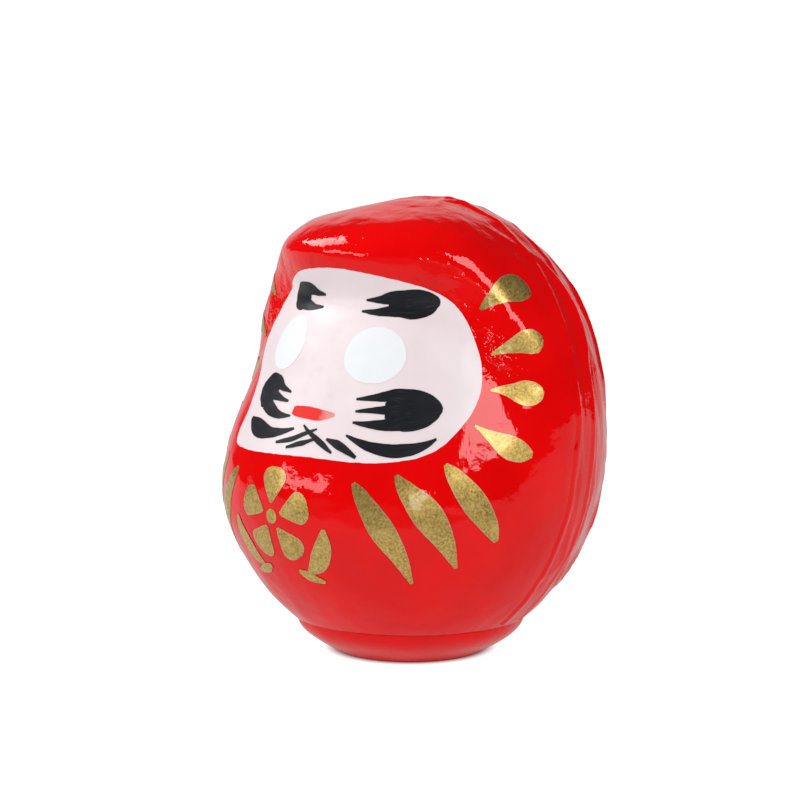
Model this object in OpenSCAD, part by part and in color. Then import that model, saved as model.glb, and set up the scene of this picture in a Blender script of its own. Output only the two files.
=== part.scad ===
// Daruma doll: a hollow papier-mache body on a clay weight, painted by hand.
// Millimetres. +Z up, the face looks along -Y, the doll's own left is +X.
// The origin is the centre of the flat foot.

/* [Body] */
// Height from the foot to the crown
doll_h = 120; // [95:1:150]
// Radius of the body at its widest
body_r = 52; // [43:0.5:63]
// Height of the widest section
waist_z = 57; // [46:1:70]
// How far the crown sits behind the waist
crown_back = 4.6; // [0:0.2:8]
// Thickness of the papier-mache
wall = 2.4; // [1.6:0.1:3.6]

/* [Sunken face] */
// Depth of the hollow in front of the face
face_depth = 10.7; // [6:0.1:14]
// Share of that depth that is lost towards the cheeks
face_round = 0.5; // [0:0.1:1]
// Angle from the front to the edge of the hollow, at the cheeks
cheek_angle = 78; // [60:1:88]
// How much narrower that angle is at the forehead
forehead_narrowing = 25; // [10:1:40]
// Half of the angle over which the hollow's side rises
cheek_blend = 13; // [8:1:25]
// How far the forehead bulges past the round body
forehead_out = 7.8; // [0:0.2:10]

/* [Joint of the shell halves] */
// Backward lean of the joint
joint_lean = 6.4; // [0:0.2:12]
// Gap of glue between the halves
joint_gap = 0.1; // [0.05:0.05:0.4]
// Width of the paper strip over the joint
strip_w = 12; // [8:0.5:18]
// Thickness of the paper strip
strip_t = 0.5; // [0.3:0.1:1]

/* [Base] */
// Height of the dish under the shell
dish_h = 9.5; // [7:0.5:13]
// Radius of the shell's bottom edge
rim_r = 31.3; // [26:0.1:38]
// Step in from the shell's edge to the dish
rim_step = 0.8; // [0.3:0.1:2]
// Radius of the flat foot
foot_r = 20; // [18:0.2:25]
// Height of the plug that the weight pushes into the shell
plug_h = 9; // [5:0.5:14]
// Gap between the plug and the shell's edge
plug_gap = 0.2; // [0.1:0.05:0.5]
// Depth of the hollow in the top of the weight
bowl_depth = 5; // [2:0.5:10]
// Height of the glue bead above the shell's edge
glue_h = 5; // [3:0.5:8]
// Step in from the foot's edge to the paper round
round_step = 2.6; // [1:0.2:6]
// Thickness of the paper round
round_t = 0.4; // [0.2:0.1:0.8]

/* [Paint] */
// Thickness of the pale ground coat of the face
ground_t = 0.15; // [0.1:0.05:0.3]
// Thickness of a painted mark
mark_t = 0.15; // [0.1:0.05:0.3]
// Clearance between one coat and the surface below it
coat_gap = 0.02; // [0.01:0.01:0.05]
// Height of the eyes' centres
eye_z = 83; // [80:0.5:86]
// Height of an eye
eye_h = 13.6; // [10:0.2:15]
// Radius of the blossom on the belly
blossom_r = 12.5; // [9:0.5:14]

/* [Hidden] */

// Height of the doll that the hollow and the painted outlines below are drawn for
drawn_h = 120;
// Facets round the body, and rows of facets from the shell's edge to the crown
turns = 60;
rows = 30;
// Steps between two points of a brush stroke or an outline
brush_steps = 3;
// How far the solids that the shell is cut from run on below its edge
below_edge = 3;
// Rings of facets from the middle of an outline to its edge
outline_rings = 5;
// The wedges that cut out the painted marks run from inside the body to outside it:
// shares of the body's radius at each point
wedge_in = 0.85;
wedge_out = 1.15;

lacquer_red = [0.85, 0.02, 0.02];
ground_pink = [0.92, 0.86, 0.87];
eye_white = [0.95, 0.96, 0.97];
ink_black = [0.12, 0.12, 0.14];
mouth_red = [0.9, 0.1, 0.08];
leaf_gold = [0.73, 0.63, 0.38];
bare_clay = [0.62, 0.52, 0.42];
bare_paper = [0.8, 0.76, 0.68];

function smooth(from, to, x) =
    let (t = min(1, max(0, (x - from) / (to - from)))) t * t * (3 - 2 * t);
function mix(a, b, t) = a + (b - a) * t;
// A height drawn on the pattern, moved to this doll's height
function up(z) = z * doll_h / drawn_h;

// ---- the body's surface ----

// The side view is two half ellipses that meet at the waist. The lower one is as
// deep as it takes to reach the shell's edge.
crown_h = doll_h - waist_z;
belly_h = (waist_z - dish_h) / sqrt(1 - pow(rim_r / body_r, 2));

// Heights at which the hollow starts, is full, starts to close and is closed
hollow_low = up(36);
hollow_deep = up(78);
hollow_high = up(93);
hollow_top = up(111.8);
// Angles from the front over which the forehead's bulge fades out
bulge_from = 40;
bulge_to = 95;

function centre_y(z) = crown_back * smooth(waist_z, doll_h, z);
function cheek_edge(z) =
    cheek_angle - forehead_narrowing * smooth(up(73.5), up(107.7), z);
function hollow(turn, z) =
    let (a = abs(turn), edge = cheek_edge(z))
    face_depth * (1 - face_round * (1 - cos(min(a, 90))))
        * (1 - smooth(edge - cheek_blend, edge + cheek_blend, a))
        * smooth(hollow_low, hollow_deep, z)
        * (1 - smooth(hollow_high, hollow_top, z));
function bulge(turn, z) =
    forehead_out * smooth(hollow_high, hollow_top, z)
        * (1 - smooth(hollow_top + 2, doll_h, z))
        * (1 - smooth(bulge_from, bulge_to, abs(turn)));

// The surface that lies grow outside the body runs straight out sideways up to the
// forehead, then turns upwards over the crown, and it turns downwards at the foot
top_tilt = asin((hollow_top - waist_z) / crown_h);
function out_share(tilt) = tilt < 0 ? cos(tilt) : min(1, cos(tilt) / cos(top_tilt));
function up_share(tilt) = tilt < 0 ? sin(tilt) : smooth(top_tilt, 90, tilt);

// The point at angle turn from the front, at angle tilt up the side view, on the
// surface that lies grow outside the body
function skin_point(turn, tilt, grow) =
    let (
        half_h = tilt > 0 ? crown_h : belly_h,
        z = waist_z + half_h * sin(tilt),
        r = body_r * cos(tilt) + grow * out_share(tilt) - hollow(turn, z) + bulge(turn, z)
    )
    [r * sin(turn), centre_y(z) - r * cos(turn), z + grow * up_share(tilt)];

// A closed solid of the body, grow outside its surface. It runs on below the shell's
// edge, so all such solids have their facets in the same places.
module body_solid(grow = 0) {
    lowest_tilt = -asin((waist_z - dish_h + below_edge) / belly_h);
    crown = rows * turns;
    floor_centre = crown + 1;
    points = [
        for (k = [0 : rows - 1], i = [0 : turns - 1])
            skin_point(i * 360 / turns - 180, mix(lowest_tilt, 90, k / rows), grow),
        [0, crown_back, doll_h + grow],
        [0, 0, skin_point(0, lowest_tilt, grow)[2]]
    ];
    faces = [
        for (k = [0 : rows - 2], i = [0 : turns - 1])
            let (a = k * turns + i, b = k * turns + (i + 1) % turns)
            each [[a, a + turns, b + turns], [a, b + turns, b]],
        for (i = [0 : turns - 1])
            let (a = (rows - 1) * turns + i, b = (rows - 1) * turns + (i + 1) % turns)
            [a, crown, b],
        for (i = [0 : turns - 1]) [i, (i + 1) % turns, floor_centre]
    ];
    polyhedron(points, faces);
}

// The layer between two distances outside the body, down to the shell's edge. Its
// facets run parallel to the body's own, so a coat never dips into what it lies on.
module coat(inner, outer) {
    reach = 4 * doll_h;
    intersection() {
        difference() {
            body_solid(outer);
            body_solid(inner);
        }
        translate([-reach / 2, -reach / 2, dish_h]) cube(reach);
    }
}

// resize() with no sizes keeps the shape as it is and makes it one solid
module one_solid() {
    resize([0, 0, 0]) children();
}

// ---- the two shell halves and the strip over their joint ----

// Everything behind the joint, moved back by shift
module behind_joint(shift) {
    reach = 4 * doll_h;
    rotate([-joint_lean, 0, 0])
        translate([-reach / 2, shift, -reach / 2]) cube(reach);
}

module front_shell() {
    color(lacquer_red) one_solid() difference() {
        coat(-wall, 0);
        behind_joint(-joint_gap / 2);
    }
}

module rear_shell() {
    color(lacquer_red) one_solid() intersection() {
        coat(-wall, 0);
        behind_joint(joint_gap / 2);
    }
}

module joint_strip() {
    color(lacquer_red) one_solid() difference() {
        intersection() {
            coat(coat_gap, coat_gap + strip_t);
            behind_joint(-strip_w / 2);
        }
        behind_joint(strip_w / 2);
    }
}

// ---- the base ----

// Inside the shell, at height z below the waist: the angle up the side view, and
// the radius
function inside_tilt(z) = -asin((waist_z - z) / (belly_h - wall));
function inside_r(z) =
    let (tilt = inside_tilt(z)) (body_r - wall) * cos(tilt);

dish_r = rim_r - rim_step;
round_r = foot_r - round_step;
plug_r = inside_r(dish_h) - plug_gap;
// How quickly the dish's side turns up from the foot
dish_turn = 2.4;

function dish_side(a) =
    [mix(foot_r, dish_r, pow(sin(a), dish_turn)), dish_h * (1 - cos(a))];

module base_weight() {
    plug_top = dish_h + plug_h;
    bowl_r = plug_r - 4;
    color(lacquer_red) rotate_extrude($fn = 96) polygon([
        [0, round_t],
        [round_r + coat_gap, round_t],
        [round_r + coat_gap, 0],
        for (a = [0 : 15 : 90]) dish_side(a),
        [plug_r, dish_h],
        [plug_r, plug_top - 1],
        [plug_r - 1, plug_top],
        for (a = [90 : -15 : 0]) [bowl_r * sin(a), plug_top - bowl_depth * cos(a)]
    ]);
}

// The bead fills the wedge between the plug and the widening shell
module base_glue() {
    foot = dish_h + coat_gap;
    color(bare_clay) rotate_extrude($fn = 96) polygon([
        [plug_r + coat_gap, foot],
        for (k = [0 : 4])
            let (z = foot + glue_h * k / 4) [inside_r(z) - plug_gap / 2, z],
        [plug_r + coat_gap, foot + glue_h - 1]
    ]);
}

module base_paper() {
    color(bare_paper) cylinder(h = round_t - coat_gap, r = round_r, $fn = 96);
}

// ---- brush strokes ----

// Outlines lie in [angle from the front, height]. A stroke's points add its width.
function on_curve(p, i, t) =
    let (a = p[max(i - 1, 0)], b = p[i], c = p[i + 1], d = p[min(i + 2, len(p) - 1)])
    b + 0.5 * t * (c - a + t * (2 * a - 5 * b + 4 * c - d + t * (3 * (b - c) + d - a)));
function stroke_curve(p) = [
    for (i = [0 : len(p) - 2], k = [0 : brush_steps - 1]) on_curve(p, i, k / brush_steps),
    p[len(p) - 1]
];
function on_loop(p, i, t) =
    let (n = len(p), a = p[(i + n - 1) % n], b = p[i], c = p[(i + 1) % n], d = p[(i + 2) % n])
    b + 0.5 * t * (c - a + t * (2 * a - 5 * b + 4 * c - d + t * (3 * (b - c) + d - a)));
function loop_curve(p) = [
    for (i = [0 : len(p) - 1], k = [0 : brush_steps - 1]) on_loop(p, i, k / brush_steps)
];

// The body's radius at an angle and a height, and the millimetres in a degree there
function side_r(turn, z) =
    let (half_h = z > waist_z ? crown_h : belly_h)
    body_r * sqrt(max(0, 1 - pow((z - waist_z) / half_h, 2))) - hollow(turn, z)
        + bulge(turn, z);
function degree_mm(turn, z) = side_r(turn, z) * PI / 180;

function wedge_point(p, share) =
    let (r = share * side_r(p[0], p[1]))
    [r * sin(p[0]), centre_y(p[1]) - r * cos(p[0]), p[1]];
function wedge_points(line) = [
    for (p = line, share = [wedge_in, wedge_out]) wedge_point(p, share)
];

// The two edges of a stroke, each half a width off its middle line
function stroke_edge(path, side) = [
    for (i = [0 : len(path) - 1])
        let (
            p = path[i],
            a = path[max(i - 1, 0)],
            b = path[min(i + 1, len(path) - 1)],
            mm = degree_mm(p[0], up(p[1])),
            run = [(b[0] - a[0]) * mm, up(b[1]) - up(a[1])],
            half = side * max(p[2], 0.3) / 2 / norm(run)
        )
        [p[0] - half * run[1] / mm, up(p[1]) + half * run[0]]
];

// A wedge through the body along a stroke: points [angle, height, width]
module stroke_wedge(points) {
    path = stroke_curve(points);
    n = len(path);
    left = wedge_points(stroke_edge(path, 1));
    right = wedge_points(stroke_edge(path, -1));
    // Each edge holds its inner and outer points in turn; the right edge follows
    r = 2 * n;
    last = 2 * n - 2;
    faces = [
        for (i = [0 : n - 2])
            let (a = 2 * i, b = a + 2)
            each [
                [a + 1, b + 1, r + b + 1], [a + 1, r + b + 1, r + a + 1],
                [a, r + b, b], [a, r + a, r + b],
                [a, b, b + 1], [a, b + 1, a + 1],
                [r + a, r + b + 1, r + b], [r + a, r + a + 1, r + b + 1]
            ],
        [0, 1, r + 1], [0, r + 1, r],
        [last, r + last + 1, last + 1], [last, r + last, r + last + 1]
    ];
    polyhedron(concat(left, right), faces);
}

// A wedge through the body inside a closed outline, counter-clockwise round middle.
// Rings of points lead from the outline to the middle, so the wedge bends with the body.
module outline_wedge(outline, middle) {
    n = len(outline);
    heart = 2 * n * outline_rings;
    points = wedge_points([
        for (k = [0 : outline_rings - 1], p = outline) mix(p, middle, k / outline_rings),
        middle
    ]);
    faces = [
        for (k = [0 : outline_rings - 2], i = [0 : n - 1])
            let (a = 2 * (k * n + i), b = 2 * (k * n + (i + 1) % n), c = a + 2 * n, d = b + 2 * n)
            each [
                [a + 1, c + 1, d + 1], [a + 1, d + 1, b + 1],
                [a, d, c], [a, b, d]
            ],
        for (i = [0 : n - 1])
            let (k = n * (outline_rings - 1), a = 2 * (k + i), b = 2 * (k + (i + 1) % n))
            each [[a + 1, heart + 1, b + 1], [a, b, heart]],
        for (i = [0 : n - 1])
            let (a = 2 * i, b = 2 * ((i + 1) % n))
            each [[a + 1, b + 1, b], [a + 1, b, a]]
    ];
    polyhedron(points, faces);
}

// A mark painted on the face's ground coat, or straight on the lacquer
module mark_on_ground() {
    inner = 2 * coat_gap + ground_t;
    one_solid() intersection() {
        coat(inner, inner + mark_t);
        union() children();
    }
}

module mark_on_lacquer() {
    one_solid() intersection() {
        coat(coat_gap, coat_gap + mark_t);
        union() children();
    }
}

// ---- the face ----

face_middle = [3, 80];
face_outline = [
    [26, 56.8], [42, 58.9], [52, 64.3], [59.6, 71.5], [61.9, 79], [59.4, 87.5], [53.5, 94.5],
    [42, 98.6], [22, 101.8], [2, 103.6], [-16, 103], [-32, 100.8], [-45, 97.4], [-53, 92.5],
    [-53, 85.5], [-45.5, 78.5], [-39.5, 72.5], [-37, 66], [-38, 59.5], [-32, 56.6], [0, 57.2]
];

module face_ground() {
    outline = [for (p = loop_curve(face_outline)) [p[0], up(p[1])]];
    color(ground_pink) one_solid() intersection() {
        coat(coat_gap, coat_gap + ground_t);
        outline_wedge(outline, [face_middle[0], up(face_middle[1])]);
    }
}

// An oval, half_turn degrees to each side of the angle turn
module eye(turn, z, half_turn) {
    outline = [
        for (a = [0 : 15 : 345])
            [turn + half_turn * cos(a), up(z) + eye_h / 2 * sin(a)]
    ];
    color(eye_white) mark_on_ground() outline_wedge(outline, [turn, up(z)]);
}

module left_eye() {
    eye(21.4, eye_z - 0.5, 12.6);
}

module right_eye() {
    eye(-23.2, eye_z + 0.9, 9.8);
}

// A brow is a broad stroke with two fine points towards the nose
left_brow_strokes = [
    [[24, 94.6, 2], [28, 94.8, 5.6], [34, 95, 7.4], [40.5, 95.2, 6.6], [45, 95.3, 3.8], [47, 95.1, 1]],
    [[12.8, 95.7, 0.5], [19, 95.8, 1.8], [25.5, 96.4, 3.4], [32, 96.7, 3.6]],
    [[11.6, 92.9, 0.5], [18, 92.8, 1.6], [24.5, 93.1, 2.6], [32, 93.5, 3.6]]
];
right_brow_strokes = [
    [[-22, 95.4, 3], [-25.5, 95.4, 7], [-30, 95.3, 7], [-34, 95.2, 4.6], [-37, 95.2, 1]],
    [[-10.8, 96.3, 0.5], [-16, 96.7, 1.8], [-21, 97.5, 3.4], [-26, 97.3, 3.6]],
    [[-10.8, 93.3, 0.5], [-17, 93, 1.6], [-22, 93.3, 2.6], [-27, 93.8, 3.6]]
];

// A moustache is a broad stroke with three fine points
left_moustache_strokes = [
    [[28, 69.3, 3.6], [32.5, 69.4, 9.4], [38, 69.6, 9.8], [43, 69.8, 7.6], [46, 69.7, 4.4], [47.5, 69.5, 1]],
    [[17.1, 71.8, 0.5], [24, 72.3, 1.7], [31, 72.9, 3.2], [36, 72.6, 4]],
    [[17.5, 68.9, 0.5], [24, 69.3, 1.5], [29.5, 69.5, 2.4], [35, 69.6, 3.5]],
    [[17.2, 66.2, 0.5], [24, 65.9, 1.9], [30, 66, 3], [36, 66.8, 4]]
];
right_moustache_strokes = [
    [[-20.5, 70.4, 3.6], [-23.5, 71.2, 8.4], [-26.5, 71.8, 8.6], [-29.5, 72, 6], [-32, 72.2, 1.5]],
    [[-12.3, 72.1, 0.5], [-17, 72.8, 1.6], [-21.5, 74, 3.2], [-25, 74, 3.6]],
    [[-12.2, 69.8, 0.5], [-16.5, 70.2, 1.4], [-20.5, 70.7, 2.4], [-24.5, 70.8, 3.4]],
    [[-8.9, 66.4, 0.5], [-14, 66.3, 1.8], [-19, 67, 3], [-24.5, 68.6, 3.6]]
];

left_jaw_stroke = [
    [15.6, 63.1, 0.5], [20, 61.7, 1.6], [25, 60.5, 2.6], [31.2, 59.8, 3.3], [37, 60.2, 2.9],
    [41.5, 61.2, 1.8], [45.2, 62.7, 0.5]
];
right_jaw_stroke = [
    [-5.1, 63.6, 0.5], [-10.5, 62.4, 1.8], [-16, 61.8, 2.8], [-21.5, 62, 4.2],
    [-26.5, 62.8, 4], [-30.5, 64.2, 1]
];

// Four whiskers fan out under the mouth; two of them cross in a small x
whisker_strokes = [
    [[4.4, 64, 0.4], [0.3, 62.8, 1], [-5, 61, 1.3], [-11.3, 59.8, 0.6]],
    [[4.6, 61.6, 0.5], [-0.5, 60.3, 1.3], [-6, 59, 0.6]],
    [[-1.4, 64.6, 0.4], [2, 63, 1], [7, 60.8, 1.5], [11.6, 58.7, 0.6]],
    [[8.8, 61.9, 0.6], [14, 60.5, 2.1], [19.9, 58, 0.8]]
];

mouth_stroke = [
    [-8.4, 67.9, 1], [-6, 67.8, 2.2], [-1, 67.7, 2.6], [4, 67.4, 2.5], [7.4, 67.6, 1.3],
    [10, 67.7, 0.4]
];

module ink_mark(strokes) {
    color(ink_black) mark_on_ground() {
        for (s = strokes) stroke_wedge(s);
    }
}

module left_brow() {
    ink_mark(left_brow_strokes);
}

module right_brow() {
    ink_mark(right_brow_strokes);
}

module left_moustache() {
    ink_mark(left_moustache_strokes);
}

module right_moustache() {
    ink_mark(right_moustache_strokes);
}

module left_jaw_beard() {
    ink_mark([left_jaw_stroke]);
}

module right_jaw_beard() {
    ink_mark([right_jaw_stroke]);
}

module chin_whiskers() {
    ink_mark(whisker_strokes);
}

module mouth() {
    color(mouth_red) mark_on_ground() stroke_wedge(mouth_stroke);
}

// ---- gold ----

// From the temple down to the belly: four strokes fan out beside the face and
// three run down below it
upper_strokes = 4;
gold_strokes = [
    [[61.6, 93.8, 0.6], [65.5, 96.6, 3.6], [71, 98.7, 6.2], [77, 98.8, 6.4], [81, 98.1, 4], [82.6, 97.7, 1.2]],
    [[65.3, 82.6, 0.5], [70, 84.2, 2.6], [76, 85.7, 6], [79.8, 85.5, 5.2], [81.4, 85.2, 1.8]],
    [[64.4, 73.9, 0.5], [69, 73.8, 2.4], [75, 73, 6.2], [78.6, 73.4, 4.8], [80.3, 73.7, 1.4]],
    [[57.9, 65.6, 0.5], [61.8, 63.4, 2.4], [67.5, 60.3, 6], [72, 58.7, 5.4], [75.1, 57.8, 1.6]],
    [[47.6, 56.6, 1], [50.2, 53.6, 4.4], [55.6, 47.2, 6.8], [60.6, 40.6, 4.6], [63, 36.6, 1.2]],
    [[32.8, 54, 1], [35.6, 50.6, 4.4], [42, 44.2, 7.8], [47.4, 36.8, 4.8], [51.2, 30, 0.8]],
    [[19.9, 51.8, 1], [22.6, 48.6, 3.8], [28.6, 40.6, 6.6], [33.8, 33, 4.2], [37.4, 26, 0.8]]
];
// The lower strokes on the doll's right lie further round, beside the ornament
right_lower_turn = -9;

function mirrored(p, turn) = [for (q = p) [turn - q[0], q[1], q[2]]];

module left_gold_stroke(i) {
    color(leaf_gold) mark_on_lacquer() stroke_wedge(gold_strokes[i - 1]);
}

module right_gold_stroke(i) {
    turn = i > upper_strokes ? right_lower_turn : 0;
    color(leaf_gold) mark_on_lacquer() stroke_wedge(mirrored(gold_strokes[i - 1], turn));
}

// A five-petalled blossom over two sprays of leaves, all plain brush marks
blossom_turn = -8;
blossom_z = 41.5;
petal_in = 3.4;
petal_w = 8.2;

// A point at a distance and a direction from the blossom's centre, in millimetres
function from_blossom(r, angle) =
    [blossom_turn + r * sin(angle) / degree_mm(blossom_turn, up(blossom_z)),
     blossom_z + r * cos(angle)];

function petal(angle) = [
    for (p = [[petal_in, 0.8], [0.45 * blossom_r, 4], [0.74 * blossom_r, petal_w],
              [0.92 * blossom_r, 0.82 * petal_w], [blossom_r, 3]])
        concat(from_blossom(p[0], angle), [p[1]])
];

module gold_ornament() {
    heart = [for (a = [0 : 30 : 330]) from_blossom(1.9, -a)];
    color(leaf_gold) mark_on_lacquer() {
        for (k = [0 : 4]) stroke_wedge(petal(72 * k));
        outline_wedge([for (p = heart) [p[0], up(p[1])]], [blossom_turn, up(blossom_z)]);
        for (side = [-1, 1]) {
            stroke_wedge([for (p = [[16.5, 96, 1], [17, 112, 4.6], [17.2, 130, 5], [17, 148, 1]])
                concat(from_blossom(p[0], side * p[1]), [p[2]])]);
            stroke_wedge([for (p = [[15, 158, 0.8], [17.5, 150, 2.6], [21.5, 140, 0.8]])
                concat(from_blossom(p[0], side * p[1]), [p[2]])]);
        }
    }
}

front_shell();
rear_shell();
joint_strip();
base_weight();
base_glue();
base_paper();
face_ground();
left_eye();
right_eye();
left_brow();
right_brow();
left_moustache();
right_moustache();
left_jaw_beard();
right_jaw_beard();
chin_whiskers();
mouth();
gold_ornament();
left_gold_stroke(1);  // left_gold_stroke_1
left_gold_stroke(2);  // left_gold_stroke_2
left_gold_stroke(3);  // left_gold_stroke_3
left_gold_stroke(4);  // left_gold_stroke_4
left_gold_stroke(5);  // left_gold_stroke_5
left_gold_stroke(6);  // left_gold_stroke_6
left_gold_stroke(7);  // left_gold_stroke_7
right_gold_stroke(1);  // right_gold_stroke_1
right_gold_stroke(2);  // right_gold_stroke_2
right_gold_stroke(3);  // right_gold_stroke_3
right_gold_stroke(4);  // right_gold_stroke_4
right_gold_stroke(5);  // right_gold_stroke_5
right_gold_stroke(6);  // right_gold_stroke_6
right_gold_stroke(7);  // right_gold_stroke_7
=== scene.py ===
import math

import bmesh
import bpy
from mathutils import Matrix, Vector, noise


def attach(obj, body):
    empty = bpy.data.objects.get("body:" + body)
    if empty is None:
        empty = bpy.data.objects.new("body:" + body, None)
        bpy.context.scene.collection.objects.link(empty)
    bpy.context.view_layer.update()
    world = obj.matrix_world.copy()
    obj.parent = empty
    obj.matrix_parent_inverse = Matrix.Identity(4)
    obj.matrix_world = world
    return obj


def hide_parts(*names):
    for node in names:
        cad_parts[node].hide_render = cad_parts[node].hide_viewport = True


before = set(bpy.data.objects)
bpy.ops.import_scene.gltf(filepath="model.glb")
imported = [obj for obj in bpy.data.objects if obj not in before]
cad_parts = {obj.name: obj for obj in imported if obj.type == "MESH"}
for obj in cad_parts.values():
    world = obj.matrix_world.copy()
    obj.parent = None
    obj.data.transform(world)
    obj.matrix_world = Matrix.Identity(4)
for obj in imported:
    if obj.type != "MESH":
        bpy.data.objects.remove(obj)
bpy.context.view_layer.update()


# ---- the form of the body ----
# The doll's body is laid up from wet paper over a turned form: two half ellipses in
# the side view, a hollow pressed in for the face, and a forehead that bulges over it.
# Its surface is lumpy, with long folds up the back where the sheets of paper overlap.

class Field:
    """A value in a node tree. Arithmetic on it adds Math nodes."""

    def __init__(self, tree, socket):
        self.tree, self.socket = tree, socket

    def math(self, operation, *others):
        node = self.tree.nodes.new("ShaderNodeMath")
        node.operation = operation
        for slot, value in zip(node.inputs, (self, *others)):
            plug(self.tree, value, slot)
        return Field(self.tree, node.outputs[0])

    def __add__(self, other):
        return self.math("ADD", other)

    def __sub__(self, other):
        return self.math("SUBTRACT", other)

    def __rsub__(self, other):
        return self.math("MULTIPLY_ADD", -1.0, other)

    def __mul__(self, other):
        return self.math("MULTIPLY", other)

    def __truediv__(self, other):
        return self.math("DIVIDE", other)

    def __neg__(self):
        return self.math("MULTIPLY", -1.0)

    __radd__ = __add__
    __rmul__ = __mul__

    def smooth(self, low, high):
        """0 below low, 1 above high, and a soft step between."""
        node = self.tree.nodes.new("ShaderNodeMapRange")
        node.interpolation_type = "SMOOTHSTEP"
        for slot, value in zip(node.inputs, (self, low, high)):
            plug(self.tree, value, slot)
        return Field(self.tree, node.outputs[0])

    def between(self, low, high):
        """low where this is 0, high where it is 1."""
        return self * (high - low) + low

    def band(self, rise, full, drop, gone):
        """0 below rise, 1 from full to drop, 0 above gone, and soft steps between."""
        return self.smooth(rise, full) * (1 - self.smooth(drop, gone))


def plug(tree, value, slot):
    if isinstance(value, Field):
        tree.links.new(value.socket, slot)
    elif isinstance(value, bpy.types.NodeSocket):
        tree.links.new(value, slot)
    else:
        slot.default_value = value


def new_tree(name, sizes, geometry_in=False, objects=()):
    """A geometry tree with named inputs. Returns the tree and its inputs by name."""
    tree = bpy.data.node_groups.new(name, "GeometryNodeTree")
    tree.is_modifier = True
    face = tree.interface
    face.new_socket("Geometry", in_out="OUTPUT", socket_type="NodeSocketGeometry")
    if geometry_in:
        face.new_socket("Geometry", in_out="INPUT", socket_type="NodeSocketGeometry")
    for label in objects:
        face.new_socket(label, in_out="INPUT", socket_type="NodeSocketObject")
    for label, value in sizes.items():
        kind = "NodeSocketInt" if isinstance(value, int) else "NodeSocketFloat"
        face.new_socket(label, in_out="INPUT", socket_type=kind).default_value = value
    face.new_socket("Finish", in_out="INPUT", socket_type="NodeSocketMaterial")
    given = tree.nodes.new("NodeGroupInput")
    return tree, {s.name: Field(tree, s) for s in given.outputs if s.name}


def add(tree, kind, inputs=None, **settings):
    """A node with its settings, and its inputs by position or name."""
    node = tree.nodes.new(kind)
    for key, value in settings.items():
        setattr(node, key, value)
    for key, value in (inputs or {}).items():
        plug(tree, value, node.inputs[key])
    return node


def xyz(tree, vector):
    parts = add(tree, "ShaderNodeSeparateXYZ", {0: vector})
    return [Field(tree, s) for s in parts.outputs]


def vector(tree, x, y, z):
    return add(tree, "ShaderNodeCombineXYZ", {0: x, 1: y, 2: z}).outputs[0]


def grain(tree, place, scale, detail=2.0, roughness=0.5, seed=0.0):
    """Noise from 0 to 1 at a place, in features of 1/scale metres."""
    node = add(tree, "ShaderNodeTexNoise", {"Vector": place, "Scale": scale, "Detail": detail,
               "Roughness": roughness, "W": seed}, noise_dimensions="4D")
    return Field(tree, node.outputs[0])


def position(tree):
    return tree.nodes.new("GeometryNodeInputPosition").outputs[0]


def flat_grid(tree, columns, rows):
    """A flat grid of points, and its two coordinates from -0.5 to 0.5."""
    made = add(tree, "GeometryNodeMeshGrid", {
        "Size X": 1.0, "Size Y": 1.0, "Vertices X": columns, "Vertices Y": rows})
    at_x, at_y, _ = xyz(tree, position(tree))
    return made.outputs[0], at_x, at_y


def moved_to(tree, geometry, spot):
    return add(tree, "GeometryNodeSetPosition", {0: geometry, "Position": spot}).outputs[0]


def welded(tree, geometry):
    """The geometry with the points that coincide made one."""
    return add(tree, "GeometryNodeMergeByDistance", {0: geometry, "Distance": weld}).outputs[0]


def noted(tree, geometry, label, value):
    """The geometry with a value kept on its points under a label."""
    node = add(tree, "GeometryNodeStoreNamedAttribute",
               {0: geometry, "Name": label, "Value": value}, data_type="FLOAT")
    return node.outputs[0]


def recalled(tree, label):
    """The value that was kept under a label, in a geometry tree."""
    node = add(tree, "GeometryNodeInputNamedAttribute", {"Name": label}, data_type="FLOAT")
    return Field(tree, node.outputs[0])


def end_tree(tree, geometry, finish):
    """Realize Instances, Set Material and the output."""
    real = add(tree, "GeometryNodeRealizeInstances", {0: geometry})
    coated = add(tree, "GeometryNodeSetMaterial", {0: real.outputs[0], "Material": finish})
    out = tree.nodes.new("NodeGroupOutput")
    tree.links.new(coated.outputs[0], out.inputs[0])


def grown(name, tree, base=None, film=0.0, **given):
    """A plain mesh object from a tree over a base mesh, with its inputs by name."""
    start = bpy.data.objects.new(name, base or bpy.data.meshes.new(name))
    bpy.context.scene.collection.objects.link(start)
    modifier = start.modifiers.new("build", "NODES")
    modifier.node_group = tree
    sockets = {s.name: s.identifier for s in tree.interface.items_tree if s.in_out == "INPUT"}
    for label, value in given.items():
        modifier[sockets[label.replace("_", " ")]] = value
    if film:
        wall = start.modifiers.new("film", "SOLIDIFY")
        wall.thickness = film
        wall.offset = 1.0
    bpy.context.view_layer.update()
    seen = start.evaluated_get(bpy.context.evaluated_depsgraph_get())
    mesh = bpy.data.meshes.new_from_object(seen)
    start.modifiers.clear()
    start.data = mesh
    mesh.name = name
    mesh.shade_smooth()
    mesh.set_sharp_from_angle(angle=sharp_angle)
    return start


def rad(degrees):
    return math.radians(degrees)


MM = 0.001
weld = 0.004 * MM
sharp_angle = rad(50)
doll_h = 120 * MM
body_r = 52 * MM
waist_z = 57 * MM
crown_back = 4.6 * MM
rim_z, rim_r = 9.5 * MM, 31.3 * MM
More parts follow.
